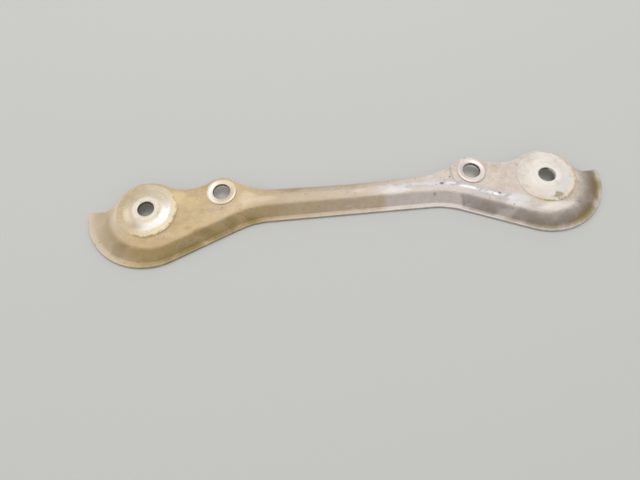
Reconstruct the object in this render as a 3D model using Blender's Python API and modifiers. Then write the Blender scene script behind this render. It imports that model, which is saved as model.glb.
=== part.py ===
"""Pressed-steel four-hole link plate, metres, +Z up, resting on its rim.

A flat web runs the whole length, with a round lobe at each end and an ear round each inner
hole.  One wall goes down from the web along the near side (-Y) and round both ends, and turns
out into a flat rim.  The far side (+Y) is a plain trimmed edge, so each end wall stops in a horn.
Reinforcing collars line the two inner holes and domed seat discs cover the two end holes.

The origin is at the middle of the bounding box in X and Y and on the underside of the rim.
"""

import math

import bmesh
import bpy
from mathutils import Vector

MM = 0.001

# Holes
END_HOLE_X = 164.2 * MM
END_HOLE_Y = 10.15 * MM
END_HOLE_RADIUS = 6.5 * MM
RIGHT_SLOT_EXTRA = 1.5 * MM
INNER_HOLE_X = 104.0 * MM
INNER_HOLE_Y = END_HOLE_Y + 11.5 * MM
INNER_HOLE_RADIUS = 7.0 * MM

# Near side of the outline: bar edge, taper, then a round end
NEAR_EDGE_Y = END_HOLE_Y - 15.2 * MM
NEAR_FILLET_RADIUS = 65.0 * MM
TAPER_ANGLE = math.radians(22.9)
RIM_CENTRE_Y = END_HOLE_Y + 3.2 * MM
RIM_RADIUS = 49.9 * MM

# Far side of the outline: bar edge, ear, valley, lobe, horn
FAR_EDGE_Y = END_HOLE_Y + 10.9 * MM
BAR_WAIST = 1.4 * MM
FAR_FILLET_RADIUS = 65.0 * MM
EAR_RADIUS = 14.2 * MM
VALLEY_RADIUS = 36.0 * MM
LOBE_RADIUS = 26.4 * MM
HORN_FILLET_RADIUS = 10.0 * MM
HORN_EDGE_ANGLE = math.radians(15.5)
HORN_EDGE_BELOW_HOLE = 5.4 * MM
HORN_TIP_RADIUS = 2.5 * MM

# Section of the sheet; each wall value is given along the bar and at the horn
SHEET = 2.0 * MM
RISE = 7.8 * MM
WALL_ANGLE = (math.radians(40.0), math.radians(23.5))
SHOULDER_RADIUS = (5.0 * MM, 12.0 * MM)
FOOT_RADIUS = (3.0 * MM, 10.0 * MM)
RIM_WIDTH = (1.2 * MM, 3.0 * MM)
ROLL_DROP = 1.6 * MM
ROLL_WIDTH = 8.0 * MM
EDGE_ROUNDING = 0.35 * MM

# Fitted pieces
CLEARANCE = 0.3 * MM
COLLAR_RADIUS = 12.0 * MM
COLLAR_FLANGE = 0.8 * MM
COLLAR_BARREL_RADIUS = 8.6 * MM
COLLAR_DISH = 0.6 * MM
COLLAR_EDGE = 0.3 * MM
SEAT_RADIUS = 24.0 * MM
SEAT_EDGE = 0.5 * MM
SEAT_TOP = 2.5 * MM
SEAT_FLAT_RADIUS = 12.5 * MM
SEAT_CONE_RADIUS = 18.2 * MM
SEAT_CORE_RADIUS = 2.0 * MM
WEB_HOLE_EXTRA = 0.7 * MM
ROUND_STEPS = 48

# Rows across the wall are set by its shape; these rows divide the web beyond it
WEB_ROWS = 5
WALL_SHARE_AT_HORN = 0.8

# Where the near side is divided to face the stretches of the far side
TAPER_SPLIT = 0.45
RIM_BELOW_HOLE = math.radians(-85)
RIM_AT_HORN_ROOT = math.radians(-45)
RIM_AT_HORN_EDGE = math.radians(-6)

# Heights are worked out from the top surface of the web
WEB_TOP = SHEET + RISE
TAPER_ALONG = Vector((math.cos(TAPER_ANGLE), -math.sin(TAPER_ANGLE)))
TAPER_INWARD = Vector((math.sin(TAPER_ANGLE), math.cos(TAPER_ANGLE)))
RIM_CENTRE = Vector((END_HOLE_X, RIM_CENTRE_Y))
TAPER_END = RIM_CENTRE - RIM_RADIUS * TAPER_INWARD
TAPER_RUN = (NEAR_EDGE_Y - TAPER_END.y) / math.tan(TAPER_ANGLE)
NEAR_FILLET_CENTRE = Vector((
    TAPER_END.x - TAPER_RUN - NEAR_FILLET_RADIUS * math.tan(TAPER_ANGLE / 2),
    NEAR_EDGE_Y - NEAR_FILLET_RADIUS,
))
RIM_START_ANGLE = -math.pi / 2 - TAPER_ANGLE


def clear_scene():
    for obj in list(bpy.data.objects):
        bpy.data.objects.remove(obj, do_unlink=True)


def polar(centre, radius, angle):
    return centre + radius * Vector((math.cos(angle), math.sin(angle)))


def line(start, end):
    return lambda t: start.lerp(end, t)


def arc(centre, radius, start, end):
    return lambda t: polar(centre, radius, start + (end - start) * t)


def angle_to(centre, point):
    return math.atan2(point.y - centre.y, point.x - centre.x)


def circle_touching_two(centre_a, reach_a, centre_b, reach_b):
    """The upper of the two points at reach_a from centre_a and at reach_b from centre_b."""
    across = centre_b - centre_a
    span = across.length
    along = (reach_a ** 2 - reach_b ** 2 + span ** 2) / (2 * span)
    up = math.sqrt(reach_a ** 2 - along ** 2)
    unit = across / span
    return centre_a + along * unit + up * Vector((-unit.y, unit.x))


def point_on_offset_line(centre, reach, direction, offset_point):
    """The outer point at reach from centre on the line through offset_point."""
    start = offset_point - centre
    along = start.dot(direction)
    step = math.sqrt(along ** 2 - start.length_squared + reach ** 2) - along
    return offset_point + step * direction


def outline_panels():
    """Pairs of rim and far-edge stretches, from the middle of the bar to the horn's tip.

    Each pair is (rim stretch, far-edge stretch, divisions, roll of the far edge at its ends).
    """
    inner_hole = Vector((INNER_HOLE_X, INNER_HOLE_Y))
    end_hole = Vector((END_HOLE_X, END_HOLE_Y))

    fillet_reach = EAR_RADIUS + FAR_FILLET_RADIUS
    fillet_y = FAR_EDGE_Y + FAR_FILLET_RADIUS
    fillet_x = INNER_HOLE_X - math.sqrt(fillet_reach ** 2 - (fillet_y - INNER_HOLE_Y) ** 2)
    far_fillet = Vector((fillet_x, fillet_y))
    valley = circle_touching_two(
        inner_hole, EAR_RADIUS + VALLEY_RADIUS, end_hole, LOBE_RADIUS + VALLEY_RADIUS)

    horn_along = Vector((math.cos(HORN_EDGE_ANGLE), math.sin(HORN_EDGE_ANGLE)))
    horn_up = Vector((-horn_along.y, horn_along.x))
    horn_line = end_hole - HORN_EDGE_BELOW_HOLE * horn_up
    horn_fillet = point_on_offset_line(
        end_hole, LOBE_RADIUS + HORN_FILLET_RADIUS, horn_along,
        horn_line + HORN_FILLET_RADIUS * horn_up)
    tip = point_on_offset_line(
        RIM_CENTRE, RIM_RADIUS - HORN_TIP_RADIUS, horn_along,
        horn_line - HORN_TIP_RADIUS * horn_up)
    tip_top = math.pi / 2 + HORN_EDGE_ANGLE
    rim_stop = angle_to(RIM_CENTRE, tip)
    tip_middle = (rim_stop + tip_top) / 2

    taper_start = polar(NEAR_FILLET_CENTRE, NEAR_FILLET_RADIUS, math.pi / 2 - TAPER_ANGLE)
    taper_middle = taper_start.lerp(TAPER_END, TAPER_SPLIT)

    middle_rim = Vector((0.0, NEAR_EDGE_Y))
    middle_far = Vector((0.0, FAR_EDGE_Y))
    return [
        (line(middle_rim, Vector((NEAR_FILLET_CENTRE.x, NEAR_EDGE_Y))),
         line(middle_far, Vector((far_fillet.x, FAR_EDGE_Y))), 6, (1.0, 1.0)),
        (arc(NEAR_FILLET_CENTRE, NEAR_FILLET_RADIUS, math.pi / 2, math.pi / 2 - TAPER_ANGLE),
         arc(far_fillet, FAR_FILLET_RADIUS, -math.pi / 2, angle_to(far_fillet, inner_hole)),
         5, (1.0, 0.3)),
        (line(taper_start, taper_middle),
         arc(inner_hole, EAR_RADIUS, angle_to(inner_hole, far_fillet),
             angle_to(inner_hole, valley)), 7, (0.3, 0.3)),
        (line(taper_middle, TAPER_END),
         arc(valley, VALLEY_RADIUS, angle_to(valley, inner_hole), angle_to(valley, end_hole)),
         6, (0.3, 0.3)),
        (arc(RIM_CENTRE, RIM_RADIUS, RIM_START_ANGLE, RIM_BELOW_HOLE),
         arc(end_hole, LOBE_RADIUS, angle_to(end_hole, valley), math.pi / 2), 5, (0.3, 0.3)),
        (arc(RIM_CENTRE, RIM_RADIUS, RIM_BELOW_HOLE, RIM_AT_HORN_ROOT),
         arc(end_hole, LOBE_RADIUS, math.pi / 2, angle_to(end_hole, horn_fillet)),
         10, (0.3, 0.0)),
        (arc(RIM_CENTRE, RIM_RADIUS, RIM_AT_HORN_ROOT, RIM_AT_HORN_EDGE),
         arc(horn_fillet, HORN_FILLET_RADIUS, angle_to(horn_fillet, end_hole),
             HORN_EDGE_ANGLE - math.pi / 2), 4, (0.0, 0.0)),
        (arc(RIM_CENTRE, RIM_RADIUS, RIM_AT_HORN_EDGE, rim_stop),
         line(horn_fillet - HORN_FILLET_RADIUS * horn_up, tip + HORN_TIP_RADIUS * horn_up),
         4, (0.0, 0.0)),
        (arc(tip, HORN_TIP_RADIUS, rim_stop, tip_middle),
         arc(tip, HORN_TIP_RADIUS, tip_top, tip_middle), 2, (0.0, 0.0)),
    ]


def waisted(point):
    """Draws the bar's far edge in a little towards the middle of the bar."""
    if point.x >= NEAR_FILLET_CENTRE.x:
        return point
    inside = 1 - (point.x / NEAR_FILLET_CENTRE.x) ** 2
    return point - Vector((0.0, BAR_WAIST * inside ** 2))


def from_rim(point):
    """(distance in from the rim line, spread of the wall from 0 on the bar to 1 at the horn)."""
    if point.x < NEAR_FILLET_CENTRE.x:
        return point.y - NEAR_EDGE_Y, 0.0
    if angle_to(NEAR_FILLET_CENTRE, point) >= math.pi / 2 - TAPER_ANGLE:
        return (point - NEAR_FILLET_CENTRE).length - NEAR_FILLET_RADIUS, 0.0
    if (point - TAPER_END).dot(TAPER_ALONG) < 0:
        return (point - TAPER_END).dot(TAPER_INWARD), 0.0
    turned = (angle_to(RIM_CENTRE, point) - RIM_START_ANGLE) / -RIM_START_ANGLE
    return RIM_RADIUS - (point - RIM_CENTRE).length, min(max(turned, 0.0), 1.0)


def wall_shape(spread):
    """(angle, shoulder radius, foot radius, rim width, length of the straight part in plan)."""
    angle, shoulder, foot, rim = (
        bar + (horn - bar) * spread
        for bar, horn in (WALL_ANGLE, SHOULDER_RADIUS, FOOT_RADIUS, RIM_WIDTH))
    straight = (RISE - (shoulder + foot) * (1 - math.cos(angle))) / math.tan(angle)
    return angle, shoulder, foot, rim, straight


def wall_rows(spread):
    """Distances in from the rim line of the rows that follow the wall's bends."""
    angle, shoulder, foot, rim, straight = wall_shape(spread)
    foot_end = rim + foot * math.sin(angle)
    shoulder_start = foot_end + straight
    top = shoulder_start + shoulder * math.sin(angle)
    return [0.0, rim, (rim + foot_end) / 2, foot_end, shoulder_start,
            (shoulder_start + top) / 2, top]


def wall_height(distance, spread):
    """Height of the sheet's top surface above the web's top, so zero or less."""
    angle, shoulder, foot, rim, straight = wall_shape(spread)
    run = distance - rim
    if run <= 0:
        return -RISE
    if run < foot * math.sin(angle):
        return -RISE + foot - math.sqrt(foot ** 2 - run ** 2)
    run -= foot * math.sin(angle)
    if run < straight:
        return -RISE + foot * (1 - math.cos(angle)) + run * math.tan(angle)
    run = max(shoulder * math.sin(angle) - (run - straight), 0.0)
    return -shoulder + math.sqrt(shoulder ** 2 - run ** 2)


def share_at_distance(rim_point, far_point, distance):
    """How far along the line from the rim to the far edge a point is this far from the rim."""
    low, high = 0.0, 1.0
    for _ in range(30):
        middle = (low + high) / 2
        if from_rim(rim_point.lerp(far_point, middle))[0] < distance:
            low = middle
        else:
            high = middle
    return low


def station_points(rim_point, far_point, roll):
    """Top-surface points of one section, from the rim to the far edge."""
    _, spread = from_rim(rim_point)
    rows = wall_rows(spread)
    reach = from_rim(far_point)[0]
    scale = min(1.0, WALL_SHARE_AT_HORN * reach / rows[-1])
    shares = [0.0] + [share_at_distance(rim_point, far_point, scale * row) for row in rows[1:]]
    last = shares[-1]
    shares += [last + (1 - last) * row / WEB_ROWS for row in range(1, WEB_ROWS + 1)]
    points = []
    for share in shares:
        plan = rim_point.lerp(far_point, share)
        distance, spread = from_rim(plan)
        to_edge = (far_point - plan).length
        drop = roll * ROLL_DROP * max(0.0, 1 - to_edge / ROLL_WIDTH) ** 2
        height = WEB_TOP + wall_height(distance, spread) - drop
        points.append(Vector((plan.x, plan.y, height)))
    return points


def stations():
    """Sections of half the sheet, from the middle of the bar to the horn's tip."""
    sections = []
    for number, (rim, far, divisions, (roll_start, roll_end)) in enumerate(outline_panels()):
        for step in range(0 if number == 0 else 1, divisions + 1):
            t = step / divisions
            roll = roll_start + (roll_end - roll_start) * t
            sections.append(station_points(rim(t), waisted(far(t)), roll))
    return sections


def material(name, colour, roughness, metallic):
    made = bpy.data.materials.new(name)
    made.use_nodes = True
    shader = made.node_tree.nodes["Principled BSDF"]
    shader.inputs["Base Color"].default_value = (*colour, 1.0)
    shader.inputs["Roughness"].default_value = roughness
    shader.inputs["Metallic"].default_value = metallic
    return made


def mesh_object(name, bm, collection):
    mesh = bpy.data.meshes.new(name)
    bm.to_mesh(mesh)
    bm.free()
    obj = bpy.data.objects.new(name, mesh)
    collection.objects.link(obj)
    return obj


def smooth(obj, sharp_angle):
    obj.data.shade_smooth()
    obj.data.set_sharp_from_angle(angle=math.radians(sharp_angle))


def cut(obj, cutter):
    boolean = obj.modifiers.new("cut_" + cutter.name, "BOOLEAN")
    boolean.operation = "DIFFERENCE"
    boolean.solver = "EXACT"
    boolean.object = cutter


def hole_cutter(name, x, y, radius, slot, cutters):
    """An upright cylinder through everything, drawn out along X by slot."""
    bm = bmesh.new()
    bmesh.ops.create_cone(
        bm, cap_ends=True, segments=ROUND_STEPS, radius1=radius, radius2=radius, depth=4 * WEB_TOP)
    for vertex in bm.verts:
        vertex.co.x += math.copysign(slot / 2, vertex.co.x)
    cutter = mesh_object(name, bm, cutters)
    cutter.location = (x, y, WEB_TOP)
    cutter.hide_render = True
    cutter.display_type = "WIRE"
    return cutter


def pressed_bar(collection, cutters):
    """The one-piece pressing: half the sheet as a loft, mirrored and thickened."""
    bm = bmesh.new()
    grid = [[bm.verts.new(point) for point in section] for section in stations()]
    for left, right in zip(grid, grid[1:]):
        for row in range(len(left) - 1):
            bm.faces.new((left[row], right[row], right[row + 1], left[row + 1]))
    bmesh.ops.remove_doubles(bm, verts=bm.verts, dist=0.01 * MM)
    bar = mesh_object("pressed_bar", bm, collection)
    bar.data.materials.append(material("bare_steel_sheet", (0.52, 0.46, 0.37), 0.42, 0.85))

    mirror = bar.modifiers.new("other_half", "MIRROR")
    mirror.merge_threshold = 0.0001
    sheet = bar.modifiers.new("sheet", "SOLIDIFY")
    sheet.thickness = SHEET
    sheet.offset = -1
    sheet.use_even_offset = True
    rounding = bar.modifiers.new("rounded_edges", "BEVEL")
    rounding.width = EDGE_ROUNDING
    rounding.segments = 1
    rounding.limit_method = "ANGLE"
    rounding.angle_limit = math.radians(60)
    smooth(bar, 40)
    for side, sign in (("left", -1), ("right", 1)):
        cut(bar, hole_cutter(
            "inner_opening_" + side, sign * INNER_HOLE_X, INNER_HOLE_Y,
            COLLAR_BARREL_RADIUS + CLEARANCE, 0.0, cutters))
        cut(bar, hole_cutter(
            "end_opening_" + side, sign * END_HOLE_X, END_HOLE_Y,
            END_HOLE_RADIUS + WEB_HOLE_EXTRA, RIGHT_SLOT_EXTRA, cutters))
    return bar


def turned(name, profile, collection):
    """A solid of revolution about Z from (radius, height) points, running down its outer side."""
    bm = bmesh.new()
    corners = [bm.verts.new((radius, 0.0, height)) for radius, height in profile]
    for number, corner in enumerate(corners):
        bm.edges.new((corner, corners[(number + 1) % len(corners)]))
    obj = mesh_object(name, bm, collection)
    screw = obj.modifiers.new("turn", "SCREW")
    screw.steps = ROUND_STEPS
    screw.render_steps = ROUND_STEPS
    screw.use_merge_vertices = True
    screw.merge_threshold = 0.00001
    smooth(obj, 35)
    return obj


def collar(name, x, metal, collection):
    """A flanged collar: a flat ring on the web with a barrel down through the sheet."""
    flange_top = CLEARANCE + COLLAR_FLANGE
    profile = [
        (INNER_HOLE_RADIUS + COLLAR_DISH, flange_top),
        (COLLAR_RADIUS - COLLAR_EDGE, flange_top),
        (COLLAR_RADIUS, flange_top - COLLAR_EDGE),
        (COLLAR_RADIUS, CLEARANCE),
        (COLLAR_BARREL_RADIUS, CLEARANCE),
        (COLLAR_BARREL_RADIUS, -SHEET),
        (INNER_HOLE_RADIUS, -SHEET),
        (INNER_HOLE_RADIUS, flange_top - COLLAR_DISH),
    ]
    made = turned(name, profile, collection)
    made.location = (x, INNER_HOLE_Y, WEB_TOP)
    made.data.materials.append(metal)
    return made


def seat_disc(name, x, slot, metal, collection, cutters):
    """A domed disc over an end hole: flat round the hole, then a cone down to a thin brim."""
    top = CLEARANCE + SEAT_TOP
    brim_top = CLEARANCE + SEAT_EDGE
    profile = [
        (SEAT_CORE_RADIUS, top),
        (SEAT_FLAT_RADIUS, top),
        (SEAT_CONE_RADIUS, brim_top),
        (SEAT_RADIUS, brim_top),
        (SEAT_RADIUS, CLEARANCE),
        (SEAT_CORE_RADIUS, CLEARANCE),
    ]
    made = turned(name, profile, collection)
    made.location = (x, END_HOLE_Y, WEB_TOP)
    made.data.materials.append(metal)
    cut(made, hole_cutter(name + "_bore", x, END_HOLE_Y, END_HOLE_RADIUS, slot, cutters))
    return made


def build():
    clear_scene()
    parts = bpy.data.collections.new("four_hole_link_plate")
    cutters = bpy.data.collections.new("cutters")
    for collection in (parts, cutters):
        bpy.context.scene.collection.children.link(collection)

    pressed_bar(parts, cutters)
    collar_steel = material("collar_steel", (0.60, 0.54, 0.46), 0.38, 0.85)
    seat_steel = material("seat_disc_steel", (0.66, 0.61, 0.52), 0.34, 0.85)
    for side, sign, slot in (("left", -1, 0.0), ("right", 1, RIGHT_SLOT_EXTRA)):
        collar("collar_" + side, sign * INNER_HOLE_X, collar_steel, parts)
        seat_disc("seat_disc_" + side, sign * END_HOLE_X, slot, seat_steel, parts, cutters)


build()
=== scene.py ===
"""Looks for the pressed-steel four-hole link bar: one fine sheet, two collars, two seat discs.

Metres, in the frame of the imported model: +X along the bar, +Y to the trimmed edge, +Z up.
"""

import math

import bmesh
import bpy
import numpy as np
from mathutils import Matrix, Vector, noise


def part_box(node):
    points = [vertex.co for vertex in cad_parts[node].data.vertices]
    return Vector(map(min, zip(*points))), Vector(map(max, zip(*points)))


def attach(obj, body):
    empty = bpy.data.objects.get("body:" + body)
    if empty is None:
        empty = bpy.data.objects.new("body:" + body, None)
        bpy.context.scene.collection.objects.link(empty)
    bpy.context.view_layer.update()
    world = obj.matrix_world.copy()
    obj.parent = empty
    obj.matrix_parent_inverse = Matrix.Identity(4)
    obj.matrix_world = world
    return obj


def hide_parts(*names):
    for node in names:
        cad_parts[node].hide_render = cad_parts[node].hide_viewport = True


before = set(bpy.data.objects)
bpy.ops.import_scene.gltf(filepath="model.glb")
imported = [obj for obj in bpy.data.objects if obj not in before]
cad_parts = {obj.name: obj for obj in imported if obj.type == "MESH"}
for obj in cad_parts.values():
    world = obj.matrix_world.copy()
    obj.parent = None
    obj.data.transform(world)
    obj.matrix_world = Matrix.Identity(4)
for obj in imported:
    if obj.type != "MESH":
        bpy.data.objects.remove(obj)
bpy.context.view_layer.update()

MM = 0.001

# Places and sizes taken from the frame
SEAT_LOW, SEAT_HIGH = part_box("seat_disc_right")
COLLAR_LOW, COLLAR_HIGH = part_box("collar_right")
END_HOLE = (SEAT_LOW + SEAT_HIGH).to_2d() / 2
INNER_HOLE = (COLLAR_LOW + COLLAR_HIGH).to_2d() / 2
SEAT_RADIUS = (SEAT_HIGH.x - SEAT_LOW.x) / 2
COLLAR_RADIUS = (COLLAR_HIGH.x - COLLAR_LOW.x) / 2
SHEET_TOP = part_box("pressed_bar")[1].z
SHEET = 2.0 * MM

# The outline and section of the sheet, as in the CAD model
NEAR_EDGE_Y = END_HOLE.y - 15.2 * MM
NEAR_FILLET_RADIUS = 65.0 * MM
TAPER_ANGLE = math.radians(22.9)
RIM_CENTRE = END_HOLE + Vector((0.0, 3.2 * MM))
RIM_RADIUS = 49.9 * MM
FAR_EDGE_Y = END_HOLE.y + 10.9 * MM
BAR_WAIST = 1.4 * MM
FAR_FILLET_RADIUS = 65.0 * MM
EAR_RADIUS = 14.2 * MM
VALLEY_RADIUS = 36.0 * MM
LOBE_RADIUS = 26.4 * MM
HORN_FILLET_RADIUS = 10.0 * MM
HORN_EDGE_ANGLE = math.radians(15.5)
HORN_EDGE_BELOW_HOLE = 5.4 * MM
HORN_TIP_RADIUS = 2.5 * MM
TAPER_SPLIT = 0.45
RIM_BELOW_HOLE = math.radians(-85.0)
RIM_AT_HORN_ROOT = math.radians(-45.0)
RIM_AT_HORN_EDGE = math.radians(-6.0)
RISE = SHEET_TOP - SHEET
WALL_ANGLE = (math.radians(40.0), math.radians(23.5))
SHOULDER_RADIUS = (5.0 * MM, 12.0 * MM)
FOOT_RADIUS = (3.0 * MM, 10.0 * MM)
RIM_WIDTH = (1.2 * MM, 3.0 * MM)
WALL_SHARE_AT_HORN = 0.8
ROLL_DROP = 1.6 * MM
ROLL_WIDTH = 8.0 * MM
ROLL_ON_BAR, ROLL_AT_END, ROLL_AT_HORN = 1.0, 0.3, 0.0
EDGE_ROUNDING = 0.45 * MM
EDGE_ROUNDING_SHARE = 0.3

# The web is crowned a little beside the shoulder, with a shallow spot face round each ear
CROWN_REACH = 23.0 * MM
CROWN_DROP = 1.0 * MM
SPOT_FACE_RADIUS = 17.6 * MM
SPOT_FACE_DEPTH = 0.10 * MM
SPOT_FACE_RAMP = (-0.5 * MM, 0.3 * MM)

# (length, height) of the handling waves and of the faint press marks
BROAD_WAVE = (26.0 * MM, 0.07 * MM)
FINE_WAVE = (7.0 * MM, 0.018 * MM)
FITTED_WAVE_SHARE = 0.25

# Holes and fitted pieces
END_BORE_RADIUS = 6.5 * MM
INNER_BORE_RADIUS = 7.0 * MM
BARREL_RADIUS = 8.6 * MM
SHEET_INNER_HOLE_RADIUS = 8.8 * MM
SHEET_END_HOLE_RADIUS = 8.0 * MM
COLLAR_DISH_DEPTH = 0.62 * MM
COLLAR_BEVEL_WIDTH = 1.6 * MM
COLLAR_BEVEL_FALL = 0.35 * MM
COLLAR_SINK = 0.15 * MM
COLLAR_CORNER = 0.4 * MM
SLOT_EXTRA = 1.5 * MM
SEAT_FLAT_RADIUS = 12.5 * MM
SEAT_CONE_RADIUS = 18.2 * MM
BRIM_INNER = 0.75 * MM
BRIM_OUTER = 0.25 * MM
BRIM_THICKNESS = 0.3 * MM
SEAT_BLEND = 1.5 * MM
SEAT_BORE_BEVEL = 0.35 * MM
SEAT_BEVEL_RISE = 0.02 * MM
SEAT_FIRST_STEP = 1.0 * MM
SLOT_BLEND = 2.0 * MM

# Fine mesh
STATION_STEP = 1.1 * MM
WALL_ROWS = 30
WEB_ROWS = 36
EDGE_ROWS = 5
TURN_STEPS = 160
SEAT_STEPS = 30
CUTTER_SEGMENTS = 96
MERGE_DISTANCE = 0.002 * MM
SHEET_SHARP_ANGLE = 40
TURNED_SHARP_ANGLE = 50

NEAR_FILLET_ARC = math.pi / 2 - TAPER_ANGLE
RIM_START_ANGLE = -math.pi / 2 - TAPER_ANGLE
TAPER_ALONG = Vector((math.cos(TAPER_ANGLE), -math.sin(TAPER_ANGLE)))
TAPER_INWARD = Vector((math.sin(TAPER_ANGLE), math.cos(TAPER_ANGLE)))
TAPER_END = RIM_CENTRE - RIM_RADIUS * TAPER_INWARD
TAPER_RUN = (NEAR_EDGE_Y - TAPER_END.y) / math.tan(TAPER_ANGLE)
NEAR_FILLET_CENTRE = Vector((
    TAPER_END.x - TAPER_RUN - NEAR_FILLET_RADIUS * math.tan(TAPER_ANGLE / 2),
    NEAR_EDGE_Y - NEAR_FILLET_RADIUS,
))


# ---------------------------------------------------------------- outline

def polar(centre, radius, angle):
    return centre + radius * Vector((math.cos(angle), math.sin(angle)))


def line(start, end):
    """A stretch of outline as (length, point at a share of it)."""
    return (end - start).length, lambda t: start.lerp(end, t)


def arc(centre, radius, start, end):
    return radius * abs(end - start), lambda t: polar(centre, radius, start + (end - start) * t)


def angle_to(centre, point):
    return math.atan2(point.y - centre.y, point.x - centre.x)


def circle_touching_two(centre_a, reach_a, centre_b, reach_b):
    """The upper of the two points at reach_a from centre_a and at reach_b from centre_b."""
    across = centre_b - centre_a
    span = across.length
    along = (reach_a ** 2 - reach_b ** 2 + span ** 2) / (2 * span)
    up = math.sqrt(reach_a ** 2 - along ** 2)
    unit = across / span
    return centre_a + along * unit + up * Vector((-unit.y, unit.x))


def point_on_offset_line(centre, reach, direction, offset_point):
    """The outer point at reach from centre on the line through offset_point."""
    start = offset_point - centre
    along = start.dot(direction)
    step = math.sqrt(along ** 2 - start.length_squared + reach ** 2) - along
    return offset_point + step * direction


def far_fillet_centre():
    """Centre of the hollow curve between the bar's far edge and the ear."""
    reach = EAR_RADIUS + FAR_FILLET_RADIUS
    y = FAR_EDGE_Y + FAR_FILLET_RADIUS
    return Vector((INNER_HOLE.x - math.sqrt(reach ** 2 - (y - INNER_HOLE.y) ** 2), y))


def horn_points():
    """(direction square to the horn's edge, centre of its root fillet, centre of its tip)."""
    horn_along = Vector((math.cos(HORN_EDGE_ANGLE), math.sin(HORN_EDGE_ANGLE)))
    horn_up = Vector((-horn_along.y, horn_along.x))
    horn_line = END_HOLE - HORN_EDGE_BELOW_HOLE * horn_up
    horn_fillet = point_on_offset_line(
        END_HOLE, LOBE_RADIUS + HORN_FILLET_RADIUS, horn_along,
        horn_line + HORN_FILLET_RADIUS * horn_up)
    tip = point_on_offset_line(
        RIM_CENTRE, RIM_RADIUS - HORN_TIP_RADIUS, horn_along,
        horn_line - HORN_TIP_RADIUS * horn_up)
    return horn_up, horn_fillet, tip


def outline_panels():
    """Stretches of rim and far edge that face each other, from mid-bar to the horn's tip.

    Each is (rim, far edge, how strongly the far edge is rolled at the start and the end).
    """
    far_fillet = far_fillet_centre()
    valley = circle_touching_two(
        INNER_HOLE, EAR_RADIUS + VALLEY_RADIUS, END_HOLE, LOBE_RADIUS + VALLEY_RADIUS)
    horn_up, horn_fillet, tip = horn_points()
    tip_top = math.pi / 2 + HORN_EDGE_ANGLE
    rim_stop = angle_to(RIM_CENTRE, tip)
    tip_middle = (rim_stop + tip_top) / 2
    taper_start = polar(NEAR_FILLET_CENTRE, NEAR_FILLET_RADIUS, NEAR_FILLET_ARC)
    taper_middle = taper_start.lerp(TAPER_END, TAPER_SPLIT)
    level, fading, low = (ROLL_ON_BAR,) * 2, (ROLL_ON_BAR, ROLL_AT_END), (ROLL_AT_END,) * 2
    ending, none = (ROLL_AT_END, ROLL_AT_HORN), (ROLL_AT_HORN,) * 2
    return [
        (line(Vector((0.0, NEAR_EDGE_Y)), Vector((NEAR_FILLET_CENTRE.x, NEAR_EDGE_Y))),
         line(Vector((0.0, FAR_EDGE_Y)), Vector((far_fillet.x, FAR_EDGE_Y))), level),
        (arc(NEAR_FILLET_CENTRE, NEAR_FILLET_RADIUS, math.pi / 2, NEAR_FILLET_ARC),
         arc(far_fillet, FAR_FILLET_RADIUS, -math.pi / 2, angle_to(far_fillet, INNER_HOLE)),
         fading),
        (line(taper_start, taper_middle),
         arc(INNER_HOLE, EAR_RADIUS, angle_to(INNER_HOLE, far_fillet),
             angle_to(INNER_HOLE, valley)), low),
        (line(taper_middle, TAPER_END),
         arc(valley, VALLEY_RADIUS, angle_to(valley, INNER_HOLE), angle_to(valley, END_HOLE)),
         low),
        (arc(RIM_CENTRE, RIM_RADIUS, RIM_START_ANGLE, RIM_BELOW_HOLE),
         arc(END_HOLE, LOBE_RADIUS, angle_to(END_HOLE, valley), math.pi / 2), low),
        (arc(RIM_CENTRE, RIM_RADIUS, RIM_BELOW_HOLE, RIM_AT_HORN_ROOT),
         arc(END_HOLE, LOBE_RADIUS, math.pi / 2, angle_to(END_HOLE, horn_fillet)), ending),
        (arc(RIM_CENTRE, RIM_RADIUS, RIM_AT_HORN_ROOT, RIM_AT_HORN_EDGE),
         arc(horn_fillet, HORN_FILLET_RADIUS, angle_to(horn_fillet, END_HOLE),
             HORN_EDGE_ANGLE - math.pi / 2), none),
        (arc(RIM_CENTRE, RIM_RADIUS, RIM_AT_HORN_EDGE, rim_stop),
         line(horn_fillet - HORN_FILLET_RADIUS * horn_up, tip + HORN_TIP_RADIUS * horn_up),
         none),
        (arc(tip, HORN_TIP_RADIUS, rim_stop, tip_middle),
         arc(tip, HORN_TIP_RADIUS, tip_top, tip_middle), none),
    ]


def outline_stations():
    """Matching rim points, far-edge points and roll strengths, as arrays."""
    rims, fars, rolls = [], [], []
    for number, (rim, far, (roll_start, roll_end)) in enumerate(outline_panels()):
        divisions = math.ceil(max(rim[0], far[0]) / STATION_STEP)
        for step in range(0 if number == 0 else 1, divisions + 1):
            t = step / divisions
            rims.append(rim[1](t)[:])
            fars.append(far[1](t)[:])
            rolls.append(roll_start + (roll_end - roll_start) * t)
    rims, fars, rolls = np.array(rims), np.array(fars), np.array(rolls)
    inside = np.clip(1 - (fars[:, 0] / NEAR_FILLET_CENTRE.x) ** 2, 0, 1)
    fars[:, 1] -= BAR_WAIST * inside ** 2
    return rims, fars, rolls


# ---------------------------------------------------------------- section of the sheet

def smoothstep(low, high, value):
    t = np.clip((value - low) / (high - low), 0, 1)
    return t * t * (3 - 2 * t)


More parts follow.
